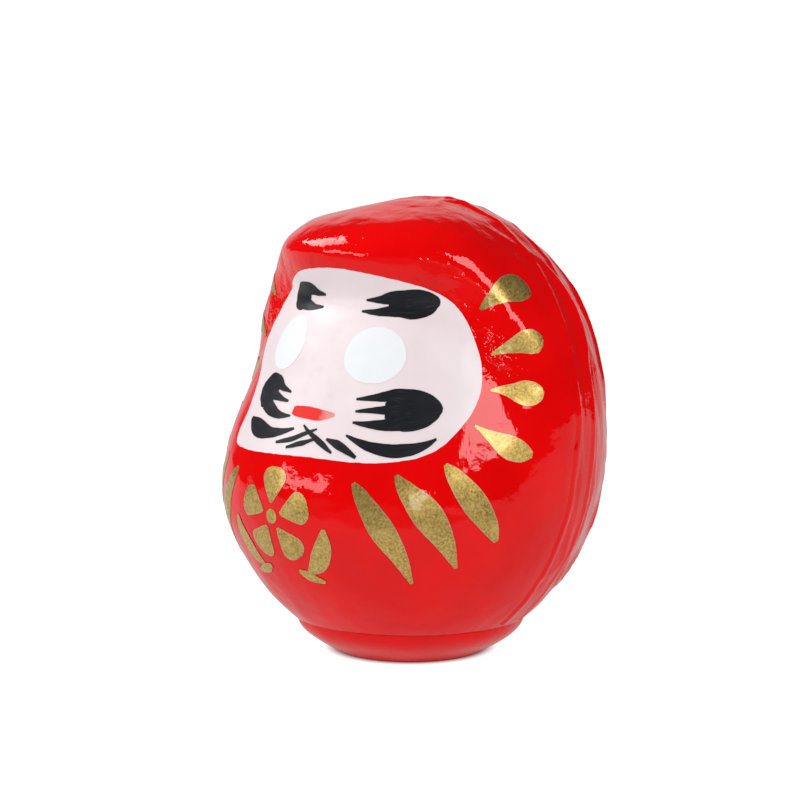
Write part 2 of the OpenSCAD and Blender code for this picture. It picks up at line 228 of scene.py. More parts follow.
# The hollow of the face starts at the chin, is whole at the nose, and runs out from
# the brow to the lip, where the forehead juts out furthest
chin_z, nose_z, brow_z, lip_z = 36 * MM, 78 * MM, 93 * MM, 111.8 * MM
narrow_from, narrow_to = 73.5 * MM, 107.7 * MM
lip_end_z = 113.8 * MM
body_sizes = {
    "Height": doll_h, "Radius": body_r, "Waist height": waist_z, "Edge height": rim_z,
    "Edge radius": rim_r, "Crown back": crown_back, "Wall": 2.4 * MM,
    "Face depth": 10.7 * MM, "Face round": 0.5, "Cheek angle": rad(78),
    "Forehead narrowing": rad(25), "Cheek blend": rad(13), "Forehead out": 7.8 * MM,
    "Lump height": 0.9 * MM, "Dent height": 0.65 * MM, "Fold height": 1.2 * MM,
    "Crease height": 1.0 * MM, "Seed": 3.7,
}
body_tree, size = new_tree("papier_mache_body", body_sizes)
around, rows_out, rows_in = 360, 170, 40
rows = rows_out + rows_in + 2
unrolled, at_x, at_y = flat_grid(body_tree, around + 1, rows)
turn = at_x * (2 * math.pi)
row = (at_y + 0.5) * (rows - 1)
inside = row.math("GREATER_THAN", rows_out + 0.5)
deep = size["Waist height"] - size["Edge height"]
edge_share = size["Edge radius"] / size["Radius"]
belly_h = deep / (1 - edge_share * edge_share).math("SQRT")
crown_h = size["Height"] - size["Waist height"]
low_tilt = -((deep / belly_h).math("ARCSINE"))
low_inside = -((deep / (belly_h - size["Wall"])).math("ARCSINE"))
tilt_out = (row / rows_out).between(rad(90), low_tilt)
tilt_in = ((row - (rows_out + 1)) / rows_in).between(low_inside, rad(90))
tilt = inside.between(tilt_out, tilt_in)
above = tilt.math("GREATER_THAN", 0.0)
cos_tilt, sin_tilt = tilt.math("COSINE"), tilt.math("SINE")
height = size["Waist height"] + above.between(belly_h, crown_h) * sin_tilt
off_front = turn.math("ABSOLUTE")
cheek = size["Cheek angle"] - size["Forehead narrowing"] * height.smooth(narrow_from, narrow_to)
rounding = 1 - size["Face round"] * (1 - off_front.math("MINIMUM", rad(90)).math("COSINE"))
hollow = (size["Face depth"] * rounding
          * (1 - off_front.smooth(cheek - size["Cheek blend"], cheek + size["Cheek blend"]))
          * height.smooth(chin_z, nose_z) * (1 - height.smooth(brow_z, lip_z)))
bulge = (size["Forehead out"] * height.smooth(brow_z, lip_z)
         * (1 - height.smooth(lip_end_z, doll_h)) * (1 - off_front.smooth(rad(40), rad(95))))
lip_tilt = math.asin((lip_z - waist_z) / (doll_h - waist_z))
# Above the lip the wall's thickness turns from outwards to upwards
out_share = above.between(cos_tilt, (cos_tilt / math.cos(lip_tilt)).math("MINIMUM", 1.0))
up_share = above.between(sin_tilt, tilt.smooth(lip_tilt, rad(90)))
grow = -(size["Wall"] * inside)
radius = size["Radius"] * cos_tilt + grow * out_share - hollow + bulge
axis_y = size["Crown back"] * height.smooth(size["Waist height"], size["Height"])
# Where the paper was pressed into the hollow it is finely creased: at the temples, on
# the lip of the forehead and under the chin
temple = (off_front.band(cheek - rad(24), cheek - rad(14), cheek - rad(5), cheek + rad(4))
          * height.band(72 * MM, 84 * MM, 100 * MM, 108 * MM))
lip = (height.band(103 * MM, 107 * MM, 111 * MM, 115 * MM)
       * (1 - off_front.smooth(rad(22), rad(50))))
chin = (height.band(45 * MM, 49 * MM, 52 * MM, 57 * MM)
        * (1 - off_front.smooth(rad(18), rad(40))))
for label, share in (("inside", inside), ("creased", temple + lip * 0.25 + chin * 0.2)):
    unrolled = noted(body_tree, unrolled, label, share)
formed = moved_to(body_tree, unrolled, vector(
    body_tree, radius * turn.math("SINE"), axis_y - radius * turn.math("COSINE"),
    height + grow * up_share))
turned = add(body_tree, "GeometryNodeFlipFaces", {0: welded(body_tree, formed)})

# Lumps and dents of the paper, then long folds that fade out towards the face
place = position(body_tree)
px, py, pz = xyz(body_tree, place)
seed = size["Seed"]
lumps = grain(body_tree, place, 42.0, 1.0, seed=seed) - 0.5
dents = grain(body_tree, place, 120.0, 2.0, seed=seed + 2.0) - 0.5
stray, upright, steep = 14 * MM, 0.13, 9.0
drift = (grain(body_tree, place, 30.0, 1.0, seed=seed + 5.0) - 0.5) * stray
long_way = vector(body_tree, px + drift, py + drift, pz * upright)
fold = grain(body_tree, long_way, 52.0, 1.0, seed=seed + 9.0)
ridge = (1 - ((fold - 0.5) * steep).math("ABSOLUTE").math("MINIMUM", 1.0)).math("POWER", 2.0)
broken = grain(body_tree, place, 34.0, 1.0, seed=seed + 11.0).smooth(0.38, 0.6)
behind = (py + 6 * MM).smooth(0.0, 24 * MM) * pz.smooth(9 * MM, 24 * MM)
creased = recalled(body_tree, "creased")
creases = (grain(body_tree, place, 170.0, 1.0, seed=seed + 14.0) - 0.5) * creased
rise = (1 - recalled(body_tree, "inside")) * (
    lumps * size["Lump height"] + dents * size["Dent height"]
    + (ridge * broken.between(0.35, 1.0) - 0.15) * behind * size["Fold height"]
    + creases * size["Crease height"])
nx, ny, nz = xyz(body_tree, body_tree.nodes.new("GeometryNodeInputNormal").outputs[0])
level_rim = pz.smooth(size["Edge height"], size["Edge height"] + 4 * MM)
lumpy = add(body_tree, "GeometryNodeSetPosition", {
    0: turned.outputs[0],
    "Offset": vector(body_tree, nx * rise, ny * rise, nz * rise * level_rim)})
end_tree(body_tree, lumpy.outputs[0], size["Finish"])


# ---- red lacquer ----
# Several coats of hard, glossy red lacquer brushed over the paper. It has dried with
# an orange-peel skin and a slow ripple, wrinkles at the back and creases beside the
# face, and it runs on over the strip and the base.

def new_finish(name, **constants):
    """A material with a Principled shader. Returns it, its tree, shader and place."""
    material = bpy.data.materials.new(name)
    material.use_nodes = True
    tree = material.node_tree
    shader = tree.nodes["Principled BSDF"]
    for label, value in constants.items():
        shader.inputs[label.replace("_", " ")].default_value = value
    where = tree.nodes.new("ShaderNodeTexCoord").outputs["Object"]
    return material, tree, shader, where


def tint(tree, share, first, second):
    """One colour where share is 0, another where it is 1."""
    node = add(tree, "ShaderNodeMix", {0: share}, data_type="RGBA")
    for slot, colour in ((node.inputs[6], first), (node.inputs[7], second)):
        plug(tree, colour if isinstance(colour, bpy.types.NodeSocket) else (*colour, 1.0), slot)
    return node.outputs[2]


def coloured(tree, shader, share, first, second):
    """Colours a finish: one colour where share is 0, another where it is 1."""
    plug(tree, tint(tree, share, first, second), shader.inputs["Base Color"])


def kept_value(tree, label):
    """The value that a geometry tree kept under a label, in a material."""
    return Field(tree, add(tree, "ShaderNodeAttribute", attribute_name=label).outputs["Fac"])


def bumps(tree, shader, height, depth, coat=False):
    """A surface relief, height from 0 to 1 standing for depth in metres."""
    node = add(tree, "ShaderNodeBump", {"Height": height, "Distance": depth, "Strength": 1.0})
    plug(tree, node.outputs[0], shader.inputs["Normal"])
    if coat:
        plug(tree, node.outputs[0], shader.inputs["Coat Normal"])


lacquer, tree, shader, where = new_finish(
    "red_lacquer", Coat_Weight=1.0, Coat_Roughness=0.03, Coat_IOR=1.4, Specular_IOR_Level=0.0)
mottle = grain(tree, where, 60.0, 3.0)
coloured(tree, shader, mottle.smooth(0.35, 0.7), (0.78, 0.0015, 0.002), (0.70, 0.001, 0.0015))
plug(tree, mottle.between(0.22, 0.34), shader.inputs["Roughness"])
peel = grain(tree, where, 420.0, 3.0, 0.55, seed=1.0)
ripple = grain(tree, where, 150.0, 1.0, seed=4.0)
crease = grain(tree, where, 230.0, 3.0, 0.55, seed=8.0)
wx, wy, wz = xyz(tree, where)
wrinkles = grain(tree, vector(tree, wx, wy, wz * 0.16), 240.0, 3.0, 0.6, seed=6.0)
on_rear = wy.smooth(-20 * MM, 25 * MM)
bumps(tree, shader, peel * 0.15 + ripple * 0.5 + wrinkles * on_rear.between(0.25, 0.9)
      + crease * kept_value(tree, "creased") * 2.4, 0.45 * MM, coat=True)


# ---- shell halves ----
# Two halves of the papier-mache body, 2.4 mm thick, cut apart along a plane that
# leans back so that they come off the form, then glued edge to edge.
form = grown("body_form", body_tree, Finish=lacquer)

bare_inside, tree, shader, where = new_finish("bare_paper_inside", Roughness=0.9)
fibres = grain(tree, where, 500.0, 4.0)
coloured(tree, shader, fibres, (0.30, 0.25, 0.18), (0.46, 0.40, 0.31))
bumps(tree, shader, fibres, 0.15 * MM)

joint_lean = rad(6.4)
cut_tree, size = new_tree("joint_cut", {"Lean": joint_lean, "Gap": 0.1 * MM, "Rear": 0},
                          geometry_in=True)
reach = 0.4
shift = (size["Rear"] - 0.5) * size["Gap"]
block = add(cut_tree, "GeometryNodeMeshCube", {"Size": (reach, reach, reach)})
moved = add(cut_tree, "GeometryNodeTransform", {
    0: block.outputs[0], "Translation": vector(cut_tree, 0.0, shift + reach / 2, 0.0)})
leant = add(cut_tree, "GeometryNodeTransform", {
    0: moved.outputs[0], "Rotation": vector(cut_tree, -size["Lean"], 0.0, 0.0)})
front_cut = add(cut_tree, "GeometryNodeMeshBoolean", {0: size["Geometry"]}, operation="DIFFERENCE")
cut_tree.links.new(leant.outputs[0], front_cut.inputs[1])
rear_cut = add(cut_tree, "GeometryNodeMeshBoolean", operation="INTERSECT")
cut_tree.links.new(size["Geometry"].socket, rear_cut.inputs[1])
cut_tree.links.new(leant.outputs[0], rear_cut.inputs[1])
chosen = add(cut_tree, "GeometryNodeSwitch", {
    0: size["Rear"], 1: front_cut.outputs[0], 2: rear_cut.outputs[0]}, input_type="GEOMETRY")
end_tree(cut_tree, chosen.outputs[0], size["Finish"])


def settle(piece, node):
    """Puts a finished piece in its CAD node's place on the doll's one body."""
    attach(piece, "root")
    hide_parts(node)


for name, rear in (("front_shell", 0), ("rear_shell", 1)):
    half = grown("paper_" + name, cut_tree, form.data.copy(), Rear=rear, Finish=lacquer)
    half.data.materials.append(bare_inside)
    flags = half.data.attributes["inside"].data
    for face in half.data.polygons:
        if all(flags[i].value > 0.5 for i in face.vertices):
            face.material_index = 1
    settle(half, name)


# ---- strip over the joint ----
# A strip of paper, 12 mm wide, pasted over the joint from one side of the base over
# the crown to the other. Its edges show through the lacquer as two soft ridges.

def body_surface(tree, size):
    """The mesh of the body that a tree is given."""
    node = add(tree, "GeometryNodeObjectInfo", {0: size["Body"]}, transform_space="RELATIVE")
    return node.outputs["Geometry"]


def struck(tree, body, start, way, reach):
    """Where a ray from a start along a way, as long as reach, strikes the body."""
    cast = add(tree, "GeometryNodeRaycast", {
        "Target Geometry": body, "Source Position": start, "Ray Direction": way,
        "Ray Length": reach})
    return {s.name: s for s in cast.outputs if s.enabled}["Hit Position"]


# The rays start well outside the body and end at its heart
ray_start = 100 * MM
strip_tree, size = new_tree("joint_strip", {
    "Width": 12 * MM, "Thickness": 0.5 * MM, "Lean": joint_lean, "End angle": rad(145.3),
    "Heart height": waist_z, "Wave": 0.9 * MM, "Seed": 6.1}, objects=["Body"])
along_n, across_n = 420, 22
ribbon, gx, gy = flat_grid(strip_tree, along_n, 2 * across_n + 1)
angle = gx * 2.0 * size["End angle"]
# The rows go across the top, then back along the underside
lap = (gy + 0.5) * 2.0
under = lap.math("GREATER_THAN", 1.0001)
across = under.between(lap, 2.0 - lap)
way = vector(strip_tree, angle * 6.0, across * 1.2, 0.0)
waver = (grain(strip_tree, way, 1.1, 2.0, seed=size["Seed"]) - 0.5) * size["Wave"] * 2.0
level = (across - 0.5) * size["Width"] + waver
sine, cosine = size["Lean"].math("SINE"), size["Lean"].math("COSINE")
# Out from the heart of the body, in the plane of the joint
out_x, out_up = angle.math("SINE"), angle.math("COSINE")
ray = vector(strip_tree, out_x, out_up * sine, out_up * cosine)
back_ray = vector(strip_tree, -out_x, -(out_up * sine), -(out_up * cosine))
heart_z = size["Heart height"]
start = vector(strip_tree, out_x * ray_start,
               level * cosine + heart_z * (sine / cosine) + out_up * sine * ray_start,
               heart_z - level * sine + out_up * cosine * ray_start)
surface = body_surface(strip_tree, size)
hx, hy, hz = xyz(strip_tree, struck(strip_tree, surface, start, back_ray, ray_start))
# 0 at either edge of the strip, 1 along its middle: each edge swells into a low ridge
middle = 1 - (across * 2.0 - 1.0).math("ABSOLUTE")
soft_edge = middle.smooth(0.0, 0.26) * (1 - middle.smooth(0.26, 0.6) * 0.6)
bite = 0.04 * MM
sunk = middle.smooth(0.0, 0.1) * bite
lift = under.between(size["Thickness"] * soft_edge, -sunk) - bite
rx, ry, rz = xyz(strip_tree, ray)
laid = moved_to(strip_tree, ribbon,
                vector(strip_tree, hx + rx * lift, hy + ry * lift, hz + rz * lift))
end_tree(strip_tree, welded(strip_tree, laid), size["Finish"])

strip = grown("paper_joint_strip", strip_tree, Body=form, Finish=lacquer)


def close_up(piece):
    """Fills the open ends of a piece and turns its faces outwards."""
    form = bmesh.new()
    form.from_mesh(piece.data)
    rims = [e for e in form.edges if e.is_boundary]
    bmesh.ops.holes_fill(form, edges=rims, sides=0)
    bmesh.ops.recalc_face_normals(form, faces=form.faces)
    if form.calc_volume(signed=True) < 0:
        bmesh.ops.reverse_faces(form, faces=form.faces)
    form.to_mesh(piece.data)
    form.free()
    piece.data.set_sharp_from_angle(angle=sharp_angle)


close_up(strip)
settle(strip, "joint_strip")


# ---- weight ----
# A turned plug of clay that closes the shell and makes the doll stand up again. Its
# lower part is the red dish below the shell's edge, daubed with the same lacquer.

def lathe(name, profile, steps, lump, top):
    """A turned solid from (radius, height) points, dented below the height top."""
    fade_h, usual_r, dents_per_m = 1.5 * MM, 30 * MM, 90
    form = bmesh.new()
    rings = []
    for radius, height in profile:
        ring = []
        for i in range(steps if radius > 0 else 1):
            turn = 2 * math.pi * i / steps
            spot = Vector((radius * math.cos(turn), radius * math.sin(turn), height))
            fade = min(1.0, max(0.0, (top - height) / fade_h), height / fade_h)
            dent = 1 + lump / usual_r * fade * noise.noise(spot * dents_per_m)
            ring.append(form.verts.new((spot.x * dent, spot.y * dent, spot.z)))
        rings.append(ring)
    for low, high in zip(rings, rings[1:]):
        for i in range(steps):
            j = (i + 1) % steps
            corners = [low[i % len(low)], low[j % len(low)],
                       high[j % len(high)], high[i % len(high)]]
            corners = [c for k, c in enumerate(corners) if c not in corners[:k]]
            if len(corners) > 2:
                form.faces.new(corners)
    bmesh.ops.recalc_face_normals(form, faces=form.faces)
    mesh = bpy.data.meshes.new(name)
    form.to_mesh(mesh)
    form.free()
    mesh.shade_smooth()
    mesh.set_sharp_from_angle(angle=sharp_angle)
    piece = bpy.data.objects.new(name, mesh)
    bpy.context.scene.collection.objects.link(piece)
    return piece


def in_mm(outline):
    return [(r * MM, z * MM) for r, z in outline]


# The outline, in millimetres, goes from the recess for the paper to the foot, the dish,
# the plug and the shallow bowl in the plug's top
dish_h, foot_r, dish_r, dish_turn = 9.5, 20.0, 30.5, 2.4
recess_r, recess_h, foot_edge = 17.42, 0.4, 0.5
plug_r, plug_top, bowl_rim, bowl_h = 28.55, 18.5, 4, 5
dish_steps, bowl_steps = 24, 12
dish = [(0, recess_h), (recess_r, recess_h), (recess_r, 0.0), (foot_r - foot_edge, 0.0)]
for k in range(1, dish_steps + 1):
    a = rad(90 * k / dish_steps)
    bulged = math.sin(a) ** dish_turn
    dish.append((foot_r + (dish_r - foot_r) * bulged, dish_h * (1 - math.cos(a))))
dish += [(plug_r, dish_h), (plug_r, plug_top - 1), (plug_r - 0.3, plug_top - 0.3),
         (plug_r - 1, plug_top)]
for k in range(bowl_steps, -1, -1):
    a = rad(90 * k / bowl_steps)
    dish.append(((plug_r - bowl_rim) * math.sin(a), plug_top - bowl_h * math.cos(a)))
weight = lathe("clay_base_weight", in_mm(dish), 180, 0.55 * MM, dish_h * MM)
weight.data.materials.append(lacquer)
clay, tree, shader, where = new_finish("bare_clay", Roughness=0.85)
grit = grain(tree, where, 900.0, 5.0)
coloured(tree, shader, grit, (0.34, 0.24, 0.16), (0.48, 0.37, 0.27))
bumps(tree, shader, grit, 0.2 * MM)
weight.data.materials.append(clay)
for face in weight.data.polygons:
    face.material_index = 1 if face.center.z > (dish_h + 0.01) * MM else 0
settle(weight, "base_weight")

# Glue: a bead of brown animal glue that has dried in the corner between the plug and
# the shell. It stays hidden inside the doll.
glue, tree, shader, where = new_finish("dried_glue", Roughness=0.3, Transmission_Weight=0.15)
cloud = grain(tree, where, 300.0, 3.0)
coloured(tree, shader, cloud, (0.30, 0.17, 0.07), (0.46, 0.30, 0.15))
bumps(tree, shader, cloud, 0.2 * MM)
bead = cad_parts["base_glue"]
bead.data.materials.clear()
bead.data.materials.append(glue)

# Foot paper: a round of buff paper pasted into the recess under the weight. Its edge
# has rounded, it is a little stained, and the fibres show.
round_edge = [(0, 0.02), (16.6, 0.02), (17.15, 0.06), (17.2, 0.2), (17.1, 0.34), (16.6, 0.38),
              (0, 0.38)]
foot_paper = lathe("foot_paper_round", in_mm(round_edge), 144, 0.0, 1 * MM)
buff, tree, shader, where = new_finish("buff_paper", Roughness=0.85)
wx, wy, wz = xyz(tree, where)
fibre = grain(tree, vector(tree, wx * 0.25, wy, wz), 1400.0, 5.0)
stain = grain(tree, where, 45.0, 2.0, seed=2.0)
pale = tint(tree, fibre, (0.50, 0.42, 0.30), (0.68, 0.61, 0.48))
coloured(tree, shader, stain.smooth(0.55, 0.75) * 0.5, pale, (0.40, 0.30, 0.20))
bumps(tree, shader, fibre, 0.06 * MM)
foot_paper.data.materials.append(buff)
settle(foot_paper, "base_paper")


# ---- ground coat of the face ----
# A coat of pale pink ground, cut in by hand round the hollow of the face. It is satin, not glossy,
# with soft greyish patches of painted shade along the middle of the face, where a low nose would
# shade it.

def axis_at(height):
    """How far back the body's axis lies at a height: it leans back above the waist."""
    return crown_back * height.smooth(waist_z, doll_h)


def on_body(tree, body, turn, height, lift):
    """The place on the body at an angle in radians and a height, lifted off it."""
    reach = 90 * MM
    out_x, out_y = turn.math("SINE"), -(turn.math("COSINE"))
    start = vector(tree, out_x * reach, axis_at(height) + out_y * reach, height)
    back_in = vector(tree, -out_x, -out_y, 0.0)
    hx, hy, hz = xyz(tree, struck(tree, body, start, back_in, reach))
    return vector(tree, hx + out_x * lift, hy + out_y * lift, hz)


def brush_line(tree, geometry):
    """A smooth curve through the points of a base mesh of edges."""
    line = add(tree, "GeometryNodeMeshToCurve", {0: geometry})
    curve = add(tree, "GeometryNodeCurveSplineType", {0: line.outputs[0]},
                spline_type="CATMULL_ROM")
    return curve.outputs[0]


patch_tree, size = new_tree("painted_patch", {
    "Middle turn": 0.0, "Middle height": 80.0, "Points": 220, "Rings": 44, "Lift": 0.03 * MM,
    "Wobble": 0.25, "Seed": 1.3}, geometry_in=True, objects=["Body"])
rings, gx, gy = flat_grid(patch_tree, size["Points"], size["Rings"])
inwards = gy + 0.5
sample = add(patch_tree, "GeometryNodeSampleCurve", {
    "Curves": brush_line(patch_tree, size["Geometry"]),
    "Factor": (gx + 0.5).math("MINIMUM", 1.0)},
    mode="FACTOR", use_all_curves=True)
spot = {s.name: s for s in sample.outputs if s.enabled}["Position"]
sx, sy, _ = xyz(patch_tree, spot)
shake = vector(patch_tree, sx, sy, 0.0)
shake_x = grain(patch_tree, shake, 0.35, 2.0, seed=size["Seed"]) - 0.5
shake_y = grain(patch_tree, shake, 0.35, 2.0, seed=size["Seed"] + 7.0) - 0.5
sx = sx + shake_x * size["Wobble"] * 2.0
sy = sy + shake_y * size["Wobble"] * 2.0
at_turn = sx + (size["Middle turn"] - sx) * inwards
at_height = sy + (size["Middle height"] - sy) * inwards
surface = body_surface(patch_tree, size)
laid = moved_to(patch_tree, rings, on_body(
    patch_tree, surface, at_turn * rad(1), at_height * MM, size["Lift"]))
end_tree(patch_tree, welded(patch_tree, laid), size["Finish"])


def drawn(name, paths, loop=False):
    """A base mesh of edges through points [angle in degrees, height or also width]."""
    spots, edges = [], []
    for path in paths:
        first = len(spots)
        spots += [(*p, 0.0)[:3] for p in path]
        edges += [(first + i, first + i + 1) for i in range(len(path) - 1)]
        if loop:
            edges.append((len(spots) - 1, first))
    mesh = bpy.data.meshes.new(name)
    mesh.from_pydata(spots, edges, [])
    return mesh


def coat_on(piece, node):
    """Turns a film of paint outwards and puts it in its CAD node's place."""
    heart = Vector((0, 0, 60 * MM))
    out = sum(f.normal.dot(f.center - heart) * f.area for f in piece.data.polygons)
    if out < 0:
        piece.data.flip_normals()
    settle(piece, node)


# The edge of the coat, as angles from the front in degrees and heights in millimetres
face_outline = [
    (26, 56.8), (42, 58.9), (52, 64.3), (59.6, 71.5), (61.9, 79), (59.4, 87.5), (53.5, 94.5),
    (42, 98.6), (22, 101.8), (2, 103.6), (-16, 103), (-32, 100.8), (-45, 97.4), (-53, 92.5),
    (-53, 85.5), (-45.5, 78.5), (-39.5, 72.5), (-37, 66), (-38, 59.5), (-32, 56.6), (0, 57.2),
]
pale_ground, tree, shader, where = new_finish(
    "pale_ground", Coat_Weight=0.25, Coat_Roughness=0.25, Specular_IOR_Level=0.35)
wash = grain(tree, where, 70.0, 3.0)
wx, _, wz = xyz(tree, where)
# Painted shade: greyish patches darken the ground round the nose, standing in for the shading of a
# nose the body doesn't have
nose_shade = grain(tree, where, 210.0, 4.0, seed=3.0).smooth(0.5, 0.78)
near_nose = (1 - ((wx + 1 * MM).math("ABSOLUTE")).smooth(2 * MM, 11 * MM)) * (
    1 - ((wz - 78 * MM).math("ABSOLUTE")).smooth(5 * MM, 17 * MM))
body_pink = tint(tree, wash.smooth(0.3, 0.7), (0.84, 0.735, 0.755), (0.80, 0.69, 0.715))
coloured(tree, shader, nose_shade * near_nose * 0.3, body_pink, (0.52, 0.48, 0.51))
plug(tree, wash.between(0.38, 0.5), shader.inputs["Roughness"])
bumps(tree, shader, grain(tree, where, 420.0, 2.0, seed=5.0), 0.03 * MM)
film = 0.1 * MM
face_edge = drawn("face_outline", [face_outline], loop=True)
face_ground = grown("paint_face_ground", patch_tree, face_edge, film, Body=form,
                    Middle_turn=3.0, Finish=pale_ground)
coat_on(face_ground, "face_ground")


# ---- eyes ----
# Two blank ovals of white, left for the owner to paint in. Each is a loaded touch of
# the brush over the ground, daubed out by hand, so its edge isn't quite even.
eye_white, tree, shader, where = new_finish(
    "eye_white", Specular_IOR_Level=0.35, Coat_Weight=0.2, Coat_Roughness=0.2)
daub = grain(tree, where, 160.0, 3.0)
coloured(tree, shader, daub, (0.86, 0.88, 0.90), (0.80, 0.83, 0.85))
plug(tree, daub.between(0.35, 0.5), shader.inputs["Roughness"])
bumps(tree, shader, daub, 0.05 * MM)
on_lacquer = 0.03 * MM
over_ground = on_lacquer + film + 0.02 * MM
eye_z, eye_h = 83.0, 13.6
for name, turn, height, half_turn in (("left_eye", 21.4, eye_z - 0.5, 12.6),
                                      ("right_eye", -23.2, eye_z + 0.9, 9.8)):
    oval = [(turn + half_turn * math.cos(rad(a)), height + eye_h / 2 * math.sin(rad(a)))
            for a in range(0, 360, 20)]
    eye = grown("paint_" + name, patch_tree, drawn(name, [oval], loop=True), film, Body=form,
                Middle_turn=turn, Middle_height=height, Points=96, Rings=12, Lift=over_ground,
                Wobble=0.3, Finish=eye_white)
    coat_on(eye, name)


# ---- brows, moustaches and beard ----
# Quick strokes of black ink paint with a pointed brush: a broad stroke with two or
# three fine points towards the nose. Where the brush ran dry the black streaks grey.
stroke_tree, size = new_tree("brush_strokes", {
    "Steps": 48, "Across": 9, "Lift": 0.03 * MM, "Wobble": 0.12, "Seed": 2.2},
    geometry_in=True, objects=["Body"])
spread = add(stroke_tree, "GeometryNodeResampleCurve", {
    0: brush_line(stroke_tree, size["Geometry"]), "Count": size["Steps"]})
tx, ty, tw = xyz(stroke_tree, position(stroke_tree))
# Each point keeps its width, and how far along its stroke it is
along = stroke_tree.nodes.new("GeometryNodeSplineParameter").outputs[0]
wide = noted(stroke_tree, spread.outputs[0], "wide", tw.math("MAXIMUM", 0.3) * MM)
ahead = noted(stroke_tree, wide, "along", along)
surface = body_surface(stroke_tree, size)
on_skin = moved_to(stroke_tree, ahead,
                   on_body(stroke_tree, surface, tx * rad(1), ty * MM, 0.0))
qx, qy, _ = xyz(stroke_tree, position(stroke_tree))
to_side = add(stroke_tree, "GeometryNodeSetCurveNormal", {
    0: on_skin, "Normal": vector(stroke_tree, qx, qy, 0.0)}, mode="FREE")
bristles = add(stroke_tree, "GeometryNodeMeshLine", {
    "Count": size["Across"], "Start Location": (0.0, -0.5, 0.0),
    "Offset": vector(stroke_tree, 0.0, (size["Across"] - 1.0).math("POWER", -1.0), 0.0)},
    mode="OFFSET")
_, side, _ = xyz(stroke_tree, position(stroke_tree))
sided = noted(stroke_tree, bristles.outputs[0], "across", side * 2.0)
brush = add(stroke_tree, "GeometryNodeMeshToCurve", {0: sided})
swept = add(stroke_tree, "GeometryNodeCurveToMesh", {
    0: to_side.outputs[0], "Profile Curve": brush.outputs[0],
    "Scale": recalled(stroke_tree, "wide")})
here = position(stroke_tree)
bx, by, bz = xyz(stroke_tree, here)
edge_x = grain(stroke_tree, here, 420.0, 2.0, seed=size["Seed"]) - 0.5
edge_z = grain(stroke_tree, here, 420.0, 2.0, seed=size["Seed"] + 4.0) - 0.5
waver_x, waver_z = (edge * size["Wobble"] * (3 * MM) for edge in (edge_x, edge_z))
flat_turn = (bx + waver_x).math("ARCTAN2", axis_at(bz) - by)
# Each stroke of a mark lies a hair above the one before
raised = size["Lift"] + recalled(stroke_tree, "layer") * (0.012 * MM)
laid = moved_to(stroke_tree, swept.outputs[0],
                on_body(stroke_tree, surface, flat_turn, bz + waver_z, raised))
end_tree(stroke_tree, laid, size["Finish"])


def brushed(name, strokes, finish, lift, **given):
    """A painted mark of brush strokes, each a path of [angle, height, width]."""
    base = drawn(name, strokes)
    layers = base.attributes.new("layer", "FLOAT", "POINT")
    layers.data.foreach_set("value", [float(k) for k, path in enumerate(strokes) for _ in path])
    return grown("paint_" + name, stroke_tree, base, film, Body=form, Lift=lift,
                 Finish=finish, **given)


ink, tree, shader, where = new_finish("black_ink", Specular_IOR_Level=0.3)
along, across = kept_value(tree, "along"), kept_value(tree, "across")
hairs = grain(tree, vector(tree, along * 1.3, across * 5.0, 0.0), 1.6, 3.0)
pool = grain(tree, where, 150.0, 2.0)
thin = hairs.smooth(0.5, 0.8) * pool.smooth(0.35, 0.65)
coloured(tree, shader, thin, (0.010, 0.011, 0.015), (0.060, 0.060, 0.066))
plug(tree, hairs.between(0.32, 0.55), shader.inputs["Roughness"])
bumps(tree, shader, hairs, 0.05 * MM)

